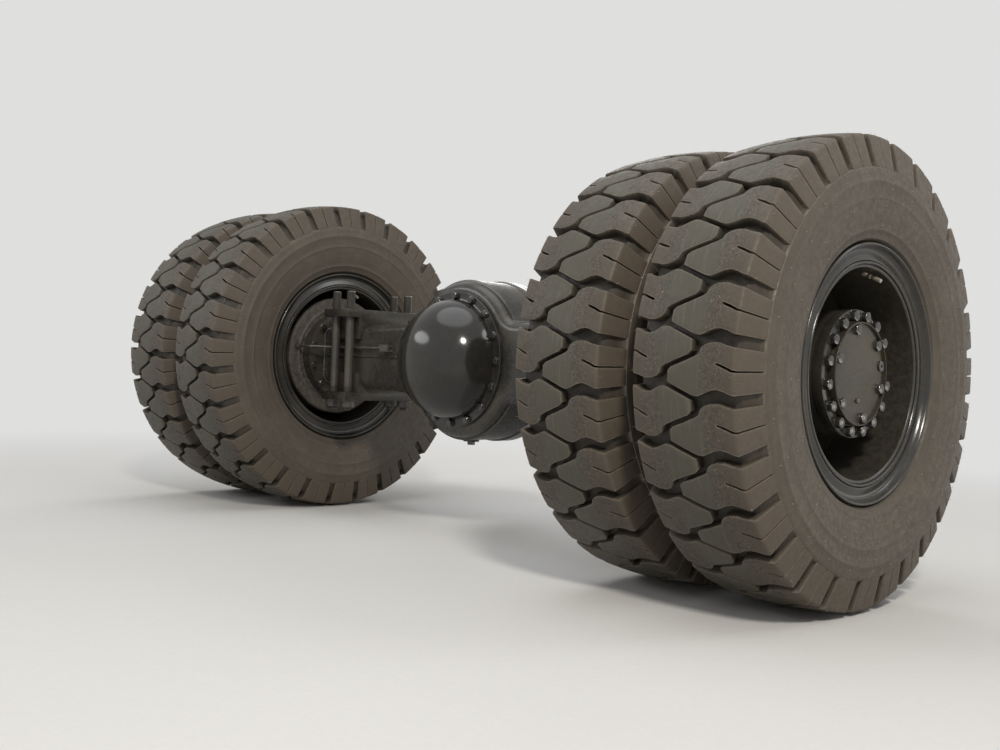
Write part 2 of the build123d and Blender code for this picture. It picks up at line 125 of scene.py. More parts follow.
def between(tree, value, low, high, toLow=0.0, toHigh=1.0):
    return add(tree, "MapRange", {"interpolation_type": "SMOOTHSTEP"}, Value=value, From_Min=low, From_Max=high,
               To_Min=toLow, To_Max=toHigh).outputs["Result"]


def bumps(tree, rows):
    # bump nodes one after another: height, strength and distance of each
    normal = None
    for height, strength, distance in rows:
        bump = add(tree, "Bump", None, Strength=strength, Distance=distance, Height=height)
        if normal is not None:
            tree.links.new(normal, bump.inputs["Normal"])
        normal = bump.outputs["Normal"]
    return normal


def finishMaterial(tree, colour, roughness, normal=None, metallic=0.0, **fixed):
    shader = add(tree, "BsdfPrincipled", None, Base_Color=colour, Roughness=roughness, Metallic=metallic, **fixed)
    if normal is not None:
        tree.links.new(normal, shader.inputs["Normal"])
    add(tree, "OutputMaterial", None, Surface=shader.outputs["BSDF"])


def objectPlace(tree):
    return add(tree, "TexCoord").outputs["Object"]


def turnedLines(tree, scale):
    # noise stretched along the wheel's turning direction, as a tool or the road leaves it
    place = add(tree, "Mapping", None, Vector=objectPlace(tree), Location=(0, 0, -axleHeight)).outputs["Vector"]
    radius = lengthOf(tree, scaledPlace(tree, place, (1, 0, 1)))
    stretched = scaledPlace(tree, place, (0.035, 1, 0.035))
    return add(tree, "TexNoise", {"noise_dimensions": "4D"}, Vector=stretched, W=radius, Scale=scale, Detail=3.0,
               Roughness=0.6).outputs["Fac"]


# Paints: all colours are linear. dust is the film's strength and patch the share of it that lies in patches,
# peel, grain and lathe are the strengths of three kinds of bump, and shine is the specular level
commonPaint = {"peel": 0.2, "grain": 0.0, "lathe": 0.0, "shine": 0.5}
paintedFinishes = {
    "rimPaint": {"colour": (0.012, 0.012, 0.0116), "roughness": 0.17, "dust": 0.27, "patch": 0.5, "lathe": 0.10},
    "barrelPaint": {"colour": (0.009, 0.0088, 0.008), "roughness": 0.24, "dust": 0.54, "patch": 0.10, "lathe": 0.12},
    "hubPaint": {"colour": (0.012, 0.0118, 0.011), "roughness": 0.18, "dust": 0.26, "patch": 0.4, "peel": 0.35,
                 "grain": 0.15, "lathe": 0.30},
    "axlePaint": {"colour": (0.011, 0.011, 0.0108), "roughness": 0.2, "dust": 0.34, "patch": 0.6, "peel": 0.35,
                  "grain": 0.3},
    "domePaint": {"colour": (0.010, 0.010, 0.010), "roughness": 0.11, "dust": 0.16, "patch": 0.5, "peel": 0.25},
    "coverCast": {"colour": (0.0185, 0.0163, 0.0104), "roughness": 0.25, "dust": 0.26, "patch": 0.5, "peel": 3.2,
                  "grain": 0.8, "shine": 0.29},
    "boltPaint": {"colour": (0.014, 0.014, 0.0136), "roughness": 0.09, "dust": 0.15, "patch": 0.4, "peel": 0.3,
                  "shine": 0.8},
    "studPaint": {"colour": (0.03, 0.029, 0.027), "roughness": 0.26, "dust": 0.4, "patch": 0.5, "grain": 0.2},
}
dustColour = (0.16, 0.133, 0.097)
paintBumps = {  # noise scale, detail and roughness, share of the finish's strength, depth in metres
    "peel": ((170.0, 2.0, 0.4, 0.3, 0.0007), (38.0, 2.0, 0.4, 0.12, 0.0012)),
    "grain": ((420.0, 5.0, 0.65, 0.5, 0.0007), (45.0, 4.0, 0.5, 0.4, 0.0018)),
}


def paintMaterial(name, finish):
    # paint under a film of dust, which lies in patches, mottles and specks
    material, tree = newMaterial(name)
    place = objectPlace(tree)
    patches = between(tree, noise(tree, place, 7.0, 8.0, 0.62, 0.4), 0.36, 0.78)
    mottle = between(tree, noise(tree, place, 70.0, 6.0, 0.62, 0.6), 0.3, 0.8)
    specks = between(tree, noise(tree, place, 260.0, 3.0, 0.6), 0.6, 0.72)
    film = plus(tree, times(tree, patches, finish["patch"]), times(tree, mottle, 0.3))
    film = plus(tree, film, times(tree, specks, 0.2))
    dust = times(tree, plus(tree, film, 0.15), finish["dust"])
    faded = tuple(c * 1.6 for c in finish["colour"])
    colour = mixColour(tree, noise(tree, place, 24.0, 5.0), finish["colour"], faded)
    colour = mixColour(tree, dust, colour, dustColour)
    roughness = plus(tree, times(tree, dust, 0.55), finish["roughness"])
    rows = [(noise(tree, place, *row[:3]), finish[kind] * row[3], row[4])
            for kind in paintBumps if finish[kind] for row in paintBumps[kind]]
    if finish["lathe"]:
        rows.append((turnedLines(tree, 240.0), finish["lathe"], 0.0006))
    finishMaterial(tree, colour, roughness, bumps(tree, rows), Specular_IOR_Level=finish["shine"])
    return material


# The tyre's attribute "across" is 0 on its centre line and 1 where the crown ends
tyreMarks = {"contact": (0.55, 0.68), "dirtyFrom": (0.42, 0.6), "dirtyTo": (0.8, 1.1), "shoulder": (0.95, 1.02),
             "sidewall": (1.6, 1.66), "onSidewall": 1.7, "hairGlint": (2.4, 2.6), "onHair": 3}
rubber = {  # a pair of colours is mixed by noise
    "crown": ((0.044, 0.035, 0.0255), (0.088, 0.0705, 0.051)),
    "contact": ((0.045, 0.0405, 0.030), (0.078, 0.071, 0.053)),
    "contactScuff": (0.135, 0.121, 0.090),
    "stain": (0.030, 0.0265, 0.021),
    "speck": (0.25, 0.218, 0.165),
    "shoulder": (0.090, 0.0715, 0.053),
    "sidewall": ((0.056, 0.0455, 0.034), (0.088, 0.072, 0.055)),
    "streak": (0.135, 0.113, 0.087),
    "sidewallScuff": (0.18, 0.155, 0.122),
    "sidewallSpeck": (0.22, 0.19, 0.15),
    # worn lug edges, painted lighter partly as wear and partly as painted highlight
    "wornEdgeAndHighlight": (0.165, 0.138, 0.106),
    # groove colours: dirt in the grooves together with painted shade
    "siltAndShade": ((0.017, 0.0135, 0.0095), (0.036, 0.029, 0.021)),
    # pale colour of the moulding hairs and vent stubs, a painted glint
    "hairGlint": (0.30, 0.27, 0.22),
    "shine": 0.45,
}


def rubberMaterial(name):
    # dusty tyre rubber: a clean contact band, brown shoulders and dark grooves partly in painted shade, from the
    # tyre's own attributes
    material, tree = newMaterial(name)
    place = objectPlace(tree)
    lines = turnedLines(tree, 260.0)
    depth = add(tree, "Attribute", {"attribute_name": "depth"}).outputs["Fac"]
    across = add(tree, "Attribute", {"attribute_name": "across"}).outputs["Fac"]
    blotches = noise(tree, place, 22.0, 6.0, 0.6)
    grit = noise(tree, place, 320.0, 4.0, 0.7)
    smears = noise(tree, place, 75.0, 5.0, 0.65, 0.6)
    edge = plus(tree, across, times(tree, smears, 0.2))
    scuffs = between(tree, lines, 0.54, 0.66)

    def over(colour, factor, key, share=1.0):
        return mixColour(tree, factor if share == 1.0 else times(tree, factor, share), colour, rubber[key])

    # the crown, with its clean band and the dirty bands beside it
    band = over(mixColour(tree, smears, *rubber["contact"]), scuffs, "contactScuff", 0.35)
    onBand = between(tree, edge, *tyreMarks["contact"], 1.0, 0.0)
    colour = mixColour(tree, onBand, mixColour(tree, blotches, *rubber["crown"]), band)
    dirty = times(tree, between(tree, edge, *tyreMarks["dirtyFrom"]),
                  between(tree, edge, *tyreMarks["dirtyTo"], 1.0, 0.0))
    stain = times(tree, dirty, between(tree, noise(tree, place, 130.0, 5.0, 0.72), 0.44, 0.6))
    colour = over(colour, stain, "stain", 0.7)
    specks = times(tree, between(tree, grit, 0.56, 0.67), between(tree, smears, 0.4, 0.62))
    colour = over(colour, times(tree, specks, plus(tree, dirty, 0.15)), "speck")
    colour = over(colour, between(tree, across, *tyreMarks["shoulder"]), "shoulder", 0.6)

    # the sidewall
    sidewall = mixColour(tree, blotches, *rubber["sidewall"])
    sidewall = over(sidewall, between(tree, noise(tree, place, 9.0, 7.0, 0.7, 1.5), 0.45, 0.72), "streak", 0.3)
    sidewall = over(sidewall, scuffs, "sidewallScuff", 0.14)
    sidewall = over(sidewall, between(tree, grit, 0.62, 0.72), "sidewallSpeck", 0.35)
    colour = mixColour(tree, between(tree, across, *tyreMarks["sidewall"]), colour, sidewall)

    # worn edges that also carry painted highlights, grooves darkened by dirt and painted shade, and moulding hairs
    # and stubs painted pale as painted glints
    # painted highlight: a lighter band round each lug's top edge, part wear, part edge highlight painted in
    wornBandAndHighlight = times(tree, between(tree, depth, 0.004, 0.024), between(tree, depth, 0.08, 0.2, 1.0, 0.0))
    wornBandAndHighlight = times(tree, wornBandAndHighlight, between(tree, noise(tree, place, 90.0, 4.0, 0.6), 0.3, 0.62, 0.25, 1.0))
    colour = over(colour, wornBandAndHighlight, "wornEdgeAndHighlight", 0.6)
    # painted shade: the grooves turn darker with depth, dirt and painted shade together
    siltAndShade = mixColour(tree, blotches, *rubber["siltAndShade"])
    colour = mixColour(tree, times(tree, between(tree, depth, 0.1, 0.6), 0.9), colour, siltAndShade)
    # painted glint: the moulding hairs and vent stubs are painted pale to stand for their bright highlights
    colour = over(colour, between(tree, across, *tyreMarks["hairGlint"]), "hairGlint")
    roughness = between(tree, smears, 0.3, 0.7, 0.46, 0.74)
    dents = noise(tree, place, 60.0, 4.0, 0.6)
    normal = bumps(tree, [(grit, 0.22, 0.0006), (lines, 0.16, 0.0005), (dents, 0.14, 0.0012)])
    finishMaterial(tree, colour, roughness, normal, Specular_IOR_Level=rubber["shine"])
    return material


metals = {
    "drumIron": {"colour": (0.05, 0.043, 0.037), "roughness": 0.6, "metallic": 0.0, "dust": 0.6},
    "pipeZinc": {"colour": (0.12, 0.118, 0.112), "roughness": 0.42, "metallic": 0.6, "dust": 0.5},
    "valveNickel": {"colour": (0.50, 0.45, 0.36), "roughness": 0.3, "metallic": 0.55, "dust": 0.15},
}


def metalMaterial(name, metal):
    material, tree = newMaterial(name)
    place = objectPlace(tree)
    patches = between(tree, noise(tree, place, 60.0, 6.0, 0.6), 0.4, 0.75)
    darker = tuple(c * 0.75 for c in metal["colour"])
    shade = mixColour(tree, noise(tree, place, 300.0, 3.0), darker, metal["colour"])
    shade = mixColour(tree, times(tree, patches, metal["dust"]), shade, dustColour)
    roughness = plus(tree, times(tree, patches, 0.3), metal["roughness"])
    normal = bumps(tree, [(noise(tree, place, 500.0, 3.0), 0.1, 0.0004)])
    finishMaterial(tree, shade, roughness, normal, metal["metallic"])
    return material


finishes = {name: paintMaterial(name, commonPaint | finish) for name, finish in paintedFinishes.items()}
finishes["tyreRubber"] = rubberMaterial("tyreRubber")
finishes |= {name: metalMaterial(name, metal) for name, metal in metals.items()}
print("finishes made:", len(finishes))


def drop(bm):
    # from the axle line to the row's frame
    bmesh.ops.translate(bm, verts=bm.verts, vec=(0, 0, axleHeight))


def asMesh(bm, name):
    mesh = bpy.data.meshes.new(name)
    bm.to_mesh(mesh)
    bm.free()
    return mesh


def newObject(name, data):
    made = bpy.data.objects.new(name, data)
    bpy.context.scene.collection.objects.link(made)
    return made


def makePiece(bm, name, body, slot, finish, replaces, sharp="pieces", attributes=None):
    # an object on its body; attributes are values of its points that its finish reads
    mesh = asMesh(bm, name)
    mesh.shade_smooth()
    mesh.set_sharp_from_angle(angle=math.radians(sharpAngles[sharp]))
    mesh.materials.append(finishes[finish])
    piece = newObject(name, mesh)
    for key, values in (attributes or {}).items():
        layer = mesh.attributes.new(key, "FLOAT", "POINT")
        layer.data.foreach_set("value", np.asarray(values, np.float32))
    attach(piece, body)
    if replaces:
        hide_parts(*replaces)


def bevel(bm, geom, radius, affect, segments=2):
    bmesh.ops.bevel(bm, geom=geom, offset=radius, segments=segments, profile=0.5, affect=affect, material=-1,
                    clamp_overlap=True)


def closeUp(bm):
    bmesh.ops.remove_doubles(bm, verts=bm.verts, dist=joinDistance)
    bmesh.ops.recalc_face_normals(bm, faces=bm.faces)


def splitLargeFaces(bm):
    bmesh.ops.triangulate(bm, faces=[f for f in bm.faces if len(f.verts) > 4])


def spin(bm, axis, steps):
    # turns the bmesh's edges about an axis through the origin into a closed solid
    bmesh.ops.spin(bm, geom=bm.verts[:] + bm.edges[:], cent=(0, 0, 0), axis=axis, angle=2 * math.pi,
                   steps=steps, use_merge=True)
    closeUp(bm)


def turnedOutline(points, rounding, steps):
    # a solid turned about Y from a closed outline as (radius, place) in millimetres, its corners rounded
    bm = bmesh.new()
    verts = [bm.verts.new((r * mm, y * mm, 0)) for r, y in points]
    bm.faces.new(verts)
    if rounding:
        bevel(bm, verts, rounding, "VERTICES")
    bmesh.ops.delete(bm, geom=bm.faces[:], context="FACES_ONLY")
    spin(bm, (0, 1, 0), steps)
    return bm


def ringPiece(points, rounding, steps, side):
    # a ring about the axle line, facing the given side
    bm = turnedOutline([(r, y * side) for r, y in points], rounding, steps)
    drop(bm)
    return bm


def addMesh(bm, mesh, place):
    first = len(bm.verts)
    bm.from_mesh(mesh)
    bm.verts.ensure_lookup_table()
    bmesh.ops.transform(bm, matrix=place, verts=bm.verts[first:])


def copiesOf(tile, places):
    # one bmesh with a copy of a mesh at each matrix
    bm = bmesh.new()
    for place in places:
        addMesh(bm, tile, place)
    return bm


headShape = {  # shares of the width across flats; bands are (shrink, drop) from the side up to the turned top
    "corner": 0.055, "shortEdge": 0.2, "bands": ((1.0, 0.067), (0.973, 0.030), (0.923, 0.0)), "circle": 0.47,
    "middle": 0.9, "chamfer": 32,
}


def hexHead(bm, flats, height):
    # a hexagon head standing on z 0, its corners rounded and its top turned off to a circle
    made = bmesh.ops.create_circle(bm, segments=6, radius=flats / math.sqrt(3), cap_ends=True)
    bevel(bm, made["verts"], flats * headShape["corner"], "VERTICES")
    flat = [e for e in bm.edges if e.calc_length() > flats * headShape["shortEdge"]]
    bmesh.ops.subdivide_edges(bm, edges=flat, cuts=1)
    outline = {}
    circle = flats * headShape["circle"]
    slope = math.tan(math.radians(headShape["chamfer"]))
    topShare = headShape["bands"][-1][0]
    cap = bm.faces[:]
    for shrink, lower in (*headShape["bands"], (None, None)):
        raised = bmesh.ops.extrude_face_region(bm, geom=cap)["geom"]
        if shrink != 1.0:
            bmesh.ops.delete(bm, geom=cap, context="FACES_ONLY")
        cap = [f for f in raised if isinstance(f, bmesh.types.BMFace)]
        for v in [v for v in raised if isinstance(v, bmesh.types.BMVert)]:
            key = round(math.degrees(math.atan2(v.co.y, v.co.x)))
            away = outline.setdefault(key, Vector((v.co.x, v.co.y)))
            if shrink:
                cut = max(0, (away * topShare).length - circle) * slope
                v.co = (*(away * shrink), height - cut - lower * flats)
            else:
                v.co = (*(away.normalized() * circle * headShape["middle"]), height)
    bmesh.ops.recalc_face_normals(bm, faces=bm.faces)


def turnedSolid(bm, points, kind):
    # a turned solid about z from (radius, height) points that start and end on the axis
    part = bmesh.new()
    verts = [part.verts.new((r, 0, z)) for r, z in points]
    for a, b in zip(verts, verts[1:]):
        part.edges.new((a, b))
    spin(part, (0, 0, 1), roundness[kind])
    mesh = asMesh(part, "turned")
    bm.from_mesh(mesh)
    bpy.data.meshes.remove(mesh)


def threadTurns(radius, low, count, pitch, crest, root):
    # the grooves of a thread; crest is half the crest's share of the pitch, root the groove's share of the radius
    points = []
    for turn in range(count):
        z = low + turn * pitch
        points += [(radius, z + pitch * crest), (radius * root, z + pitch * 0.5), (radius, z + pitch * (1 - crest))]
    return points


def threadedEnd(radius, low, high, pitch):
    # half section of a bolt's end, from inside its nut up to its chamfered tip
    count = int((high - low) / pitch)
    tip = low + count * pitch
    return [(0, low), (radius, low), *threadTurns(radius, low, count, pitch, *threadForms["bolt"]),
            (radius, tip), (radius - pitch, tip + pitch), (0, tip + pitch)]


threadForms = {"bolt": (0.2, 0.9), "clamp": (0.15, 0.91)}  # crest and root
# the washer's radius as a share of the flats, the pitch as one of the stud's radius, how far the stud starts
# inside its nut, and a head's dished middle as (share of the flats, height over its top)
boltShape = {"washer": 0.56, "pitch": 0.24, "inside": 0.002,
             "dish": ((0, -0.001), (0.3, -0.001), (0.27, 0.0004), (0.22, -0.0002), (0, 0.0002))}


def boltTile(spec):
    # a hexagon head or nut with its washer, and the end of its stud where it has one
    bm = bmesh.new()
    flats, height, lift = spec["flats"], spec["height"], spec["washer"]
    hexHead(bm, flats, height - lift)
    bmesh.ops.translate(bm, verts=bm.verts, vec=(0, 0, lift))
    r = flats * boltShape["washer"]
    turnedSolid(bm, [(0, 0), (r, 0), (r, lift * 0.7), (r - lift * 0.4, lift), (0, lift)], "washer")
    if "stud" in spec:
        stud, start = spec["stud"], height - boltShape["inside"]
        turnedSolid(bm, threadedEnd(stud, start, height + spec["reach"], stud * boltShape["pitch"]), "thread")
    else:
        turnedSolid(bm, [(flats * share, height + above) for share, above in boltShape["dish"]], "dish")
    return asMesh(bm, "boltTile")


def socketPlug(radius, height, socket):
    # a round plug with a bevelled lip round its socket
    tile = bmesh.new()
    lip, floor = radius * 0.08, height * 0.2
    turnedSolid(tile, [(0, 0), (radius, 0), (radius, height - lip), (radius - lip, height), (socket + lip, height),
                       (socket, height - lip), (socket, floor), (0, floor)], "plug")
    return asMesh(tile, "plug")


def roundScrew(radius, height):
    tile = bmesh.new()
    shares = [(0, 0), (1, 0), (1, 0.5), (0.88, 0.8), (0.6, 1), (0.32, 1), (0.3, 0.55), (0, 0.55)]
    turnedSolid(tile, [(radius * r, height * z) for r, z in shares], "small")
    return asMesh(tile, "screw")


def onCircle(radius, turn, y):
    # a point of a circle about the axle line, at a turn in degrees
    a = math.radians(turn)
    return radius * math.cos(a), y, radius * math.sin(a) + axleHeight


def facing(origin, normal, turn=0.0):
    # a place at the origin whose z points along the normal
    aim = Vector(normal).to_track_quat("Z", "Y").to_matrix().to_4x4()
    return Matrix.Translation(origin) @ aim @ Matrix.Rotation(turn, 4, "Z")


boltRings = {  # in metres, first and the plugs' last values in degrees; a plug has its maker, sizes, circle and turn
    "hub_ring_bolts": {"flats": 0.024, "height": 0.015, "washer": 0.002, "circle": 0.138, "count": 16,
                       "first": 11.25, "leftOut": 15, "plugs": [(socketPlug, (0.010, 0.003, 0.0045), 0.138, 11.25)]},
    "hub_cover_bolts": {"flats": 0.024, "height": 0.009, "washer": 0.0015, "circle": 0.105, "count": 6,
                        "first": 78.75, "plugs": [(socketPlug, (0.013, 0.005, 0.0036), 0.105, 11.25),
                                                  (roundScrew, (0.006, 0.005), 0.063, -94.0)]},
    "wheel_nuts": {"flats": 0.033, "height": 0.026, "washer": 0.004, "circle": 0.185, "count": 12, "first": 0.0,
                   "stud": 0.011, "reach": 0.012},
    "end_flange_bolts": {"flats": 0.019, "height": 0.010, "washer": 0.002, "circle": 0.1465, "count": 12,
                         "first": 15.0},
    "rear_dome_bolts": {"flats": 0.022, "height": 0.011, "washer": 0.0025, "circle": 0.203, "count": 16,
                        "first": 0.0},
    "diff_carrier_bolts": {"flats": 0.022, "height": 0.011, "washer": 0.0025, "circle": 0.248, "count": 16,
                           "first": 11.25},
    "pinion_cage_bolts": {"flats": 0.019, "height": 0.010, "washer": 0.002, "circle": 0.1035, "count": 8,
                          "first": 0.0},
}


def boltRing(node, body, normal, spec):
    # one ring of bolts on the face where the CAD's bolts stand
    low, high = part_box(node)
    axis = 0 if normal[0] else 1
    face = low[axis] if normal[axis] > 0 else high[axis]
    tile = boltTile(spec)
    places = []
    for n in range(spec["count"]):
        if n == spec.get("leftOut"):
            continue
        angle = math.radians(spec["first"] + 360 * n / spec["count"])
        across = spec["circle"] * math.cos(angle)
        height = axleHeight - spec["circle"] * math.sin(angle)
        turn = random.uniform(0, math.pi / 3)
        places.append(facing((across, face, height) if axis else (face, across, height), normal, turn))
    bm = copiesOf(tile, places)
    for maker, sizes, circle, turn in spec.get("plugs", ()):
        addMesh(bm, maker(*sizes), facing(onCircle(circle, turn, face), normal))
    makePiece(bm, node + "_detailed", body, "bolt_steel", "boltPaint", (node,), "bolts")


for kind, side in (("rear_dome_bolts", -1), ("diff_carrier_bolts", 1), ("pinion_cage_bolts", 1)):
    boltRing(kind, "axle", (side, 0, 0), boltRings[kind])
for end, side in ends.items():
    for kind in ("hub_ring_bolts", "hub_cover_bolts", "wheel_nuts"):
        boltRing(f"{end}_{kind}", f"{end}_wheels", (0, side, 0), boltRings[kind])
    boltRing(f"{end}_end_flange_bolts", "axle", (0, -side, 0), boltRings["end_flange_bolts"])
print("bolts made")


tread = {  # millimetres and degrees
    "pitches": 28, "radius": 564.0, "crownRadius": 850.0, "crownEnd": 126.0, "cornerLength": 9.0,
    "shoulderHeading": 75.6, "lugEnd": 212.0, "depth": 24.0, "edge": 1.1, "wornBandAndHighlight": 2.2, "wornDrop": 0.6,
    "sunk": 3.0,  # how far the lugs reach into the casing
    "cornerSearch": (80, 180), "sidewall": {"below": 474, "beyond": 100},
    # one lug's top from its nose, as (across, along); the sipe is a slot in from its end
    "lug": [(-28.5, 21), (-28.5, 45), (7.5, 60.5), (33, 71), (45, 73), (56, 69.5), (74, 61), (90, 58), (106, 62),
            (120, 68), (130, 70), (212, 68.5),
            (212, 21.0), (135, 22.3), (121, 21.0), (105, 14.2), (87, 6.9), (88.6, 2.9), (107.6, 9.4), (123.5, 16.6),
            (135, 18.6), (212, 17.6),
            (212, -28.5), (130, -29.5), (112, -33), (92, -39), (74, -38.5), (60, -34), (52, -27), (47, -15),
            (38, -9.5), (7.5, 3), (-20, 13)],
    "cutsAcross": [-12, 4, 20, 64, 82, 98, 113, 119, 126.5, 128.8, 131.5, 134, 141, 149, 170, 192],
    "cutsAlong": [-26, -13, 0, 13, 30, 45, 58],
    # the casing's half section from its bead, as (radius, half width)
    "casing": [(258, 107.3), (289, 107.3), (306.5, 116.8), (310.5, 121), (311.5, 128), (316, 135.5), (319, 136.6),
               (322, 138.2), (331, 141.9), (333, 143.9), (336, 145.1), (338, 144.6), (350, 148.4), (370, 152.9),
               (395, 156.2), (404, 156.7), (405, 157.3), (407, 157.4), (408, 157.0), (420, 157.2), (441, 156.6),
               (443, 157.3), (447, 157.1), (449, 155.9), (462, 154.3), (471, 152.4), (475, 151.2), (478, 147.5),
               (479, 142.5), (484, 138.4), (500, 133.0), (520, 127.0), (530, 118.0), (535, 90.0), (539, 50.0),
               (540, 0.0)],
}
hairs = {  # moulding hairs: places as (across, along) in millimetres, the share of them kept, and the pins in metres
    "places": ((131, 62), (130, -24), (136, 44), (-131, 22), (-130, -64), (124, 30), (150, 70), (-150, -70)),
    "share": 0.5, "shift": 3, "lean": 0.6, "steps": 3, "base": 0.00045, "tip": 0.00025, "length": 0.007,
}
stubs = {  # vent stubs: rings as (radius, half width, count), and the pins in metres
    "rings": ((345, 147.0, 16), (390, 155.6, 16), (430, 156.9, 22), (456, 155.2, 28)),
    "shift": 0.1, "steps": 5, "base": 0.0012, "tip": 0.0007, "length": 0.003,
}


def treadSurface():
    # across, radius and heading of the tread's surface at each millimetre from its centre line
    a, r, heading = 0.0, tread["radius"], 0.0
    rows = [(a, r, heading)]
    for step in range(1, int(tread["lugEnd"]) + 8):  # a little past the lugs' ends
        if step <= tread["crownEnd"]:
            heading = step / tread["crownRadius"]
        elif step <= tread["crownEnd"] + tread["cornerLength"]:
            start = tread["crownEnd"] / tread["crownRadius"]
            share = (step - tread["crownEnd"]) / tread["cornerLength"]
            heading = start + (math.radians(tread["shoulderHeading"]) - start) * share
        a += math.cos(heading)
        r -= math.sin(heading)
        rows.append((a, r, heading))
    return np.array(rows)


surface = treadSurface()
wallDepth = tread["depth"] + tread["sunk"]


def onTread(across, height=0.0):
    # width and radius of a point above the tread's surface
    across = min(across, len(surface) - 1.001)
    row = int(across)
    a, r, heading = surface[row] + (surface[row + 1] - surface[row]) * (across - row)
    return Vector((a + math.sin(heading) * height, r + math.cos(heading) * height))


def cornerMeeting():
    # where the walls below the crown and below the shoulder meet, with the places above it on both
    first, last = tread["cornerSearch"]
    crown = range(first, int(tread["crownEnd"]))
    side = range(int(tread["crownEnd"] + tread["cornerLength"]), last)
    pairs = [((onTread(a, -wallDepth) - onTread(b, -wallDepth)).length, a, b) for a in crown for b in side]
    _, a, b = min(pairs)
    return a, b, onTread(a, -wallDepth)


cornerStart, cornerEnd, cornerPoint = cornerMeeting()


def wrapped(across, along, height):
    # a point of the flat tread wrapped on the tyre, in metres about its own centre
    far = abs(across)
    point = onTread(far, height)
    if height < 0 and cornerStart < far < cornerEnd:
        point = onTread(far).lerp(cornerPoint, -height / wallDepth)
    angle = along / tread["radius"]
    a = -point.x if across < 0 else point.x
    return Vector((point.y * math.cos(angle), -a, point.y * math.sin(angle))) * mm


def onTop(part):
    return all(abs(v.co.z) < 0.01 for v in part.verts)


def lugTile():
    # one lug drawn flat, its edges bevelled and worn, cut into strips and wrapped over the tyre
    bm = bmesh.new()
    verts = [bm.verts.new((u, v, 0)) for u, v in tread["lug"]]
    top = bm.faces.new(verts)
    if top.normal.z < 0:
        bmesh.ops.reverse_faces(bm, faces=[top])
    raised = bmesh.ops.extrude_face_region(bm, geom=[top])
    floor = [v for v in raised["geom"] if isinstance(v, bmesh.types.BMVert)]
    bmesh.ops.translate(bm, verts=floor, vec=(0, 0, -wallDepth))
    bmesh.ops.recalc_face_normals(bm, faces=bm.faces)
    bevel(bm, [e for e in bm.edges if onTop(e)], tread["edge"], "EDGES")
    top = [f for f in bm.faces if onTop(f)]
    band = bmesh.ops.inset_region(bm, faces=top, thickness=tread["wornBandAndHighlight"], use_even_offset=True)["faces"]
    inner = {v for f in top for v in f.verts}
    for v in {v for f in band for v in f.verts} - inner:
        v.co.z -= tread["wornDrop"]
    cuts = [((u, 0, 0), (1, 0, 0)) for u in tread["cutsAcross"]]
    cuts += [((0, v, 0), (0, 1, 0)) for v in tread["cutsAlong"]]
    for place, direction in cuts:
        bmesh.ops.bisect_plane(bm, geom=bm.verts[:] + bm.edges[:] + bm.faces[:], dist=1e-4, plane_co=place,
                               plane_no=direction)
    splitLargeFaces(bm)
    for v in bm.verts:
        v.co = wrapped(v.co.x, v.co.y, v.co.z)
    bmesh.ops.remove_doubles(bm, verts=bm.verts, dist=joinDistance)
    return asMesh(bm, "lugTile")


def tyreCasing():
    # the carcass under the lugs, from bead to bead
    half = tread["casing"]
    points = half + [(r, -w) for r, w in reversed(half[:-1])]
    return asMesh(turnedOutline(points, 0.0, tread["pitches"] * 7), "tyreCasing")


def pinTile(spec):
    bm = bmesh.new()
    bmesh.ops.create_cone(bm, cap_ends=True, segments=spec["steps"], radius1=spec["base"], radius2=spec["tip"],
                          depth=spec["length"])
    bmesh.ops.translate(bm, verts=bm.verts, vec=(0, 0, spec["length"] * 0.4))
    return asMesh(bm, "pin")


def pitchTurns():
    return [Matrix.Rotation(-2 * math.pi / tread["pitches"] * n, 4, "Y") for n in range(tread["pitches"])]


def hairPlaces():
    places = []
    for turned in pitchTurns():
        for across, along in hairs["places"]:
            if random.random() < hairs["share"]:
                base = wrapped(across, along + random.uniform(-hairs["shift"], hairs["shift"]), 0)
                outward = (wrapped(across, along, 6) - wrapped(across, along, 0)).normalized()
                tilt = Vector([random.uniform(-hairs["lean"], hairs["lean"]) for _ in range(3)])
                places.append(turned @ facing(base, outward + tilt))
    return places


def stubPlaces():
    places = []
    for radius, width, count in stubs["rings"]:
        for n in range(count):
            for side in (-1, 1):
                angle = 2 * math.pi * (n + random.uniform(-stubs["shift"], stubs["shift"])) / count
                place = Vector((radius * math.cos(angle), side * width, radius * math.sin(angle))) * mm
                places.append(facing(place, (0, side, 0)))
    return places


def tyreTile():
    # one tyre's mesh about its own centre, with the number of its first points that are hairs and stubs
    lug, casing = lugTile(), tyreCasing()
    flip = Matrix.Rotation(math.pi, 4, "X")  # about the radial axis through angle 0
    bm = copiesOf(pinTile(hairs), hairPlaces())
    bm.from_mesh(asMesh(copiesOf(pinTile(stubs), stubPlaces()), "stubs"))
    pinPoints = len(bm.verts)
    places = pitchTurns()
    bm.from_mesh(asMesh(copiesOf(lug, places + [place @ flip for place in places]), "lugs"))
    bm.from_mesh(casing)
    return asMesh(bm, "tyreTile"), pinPoints


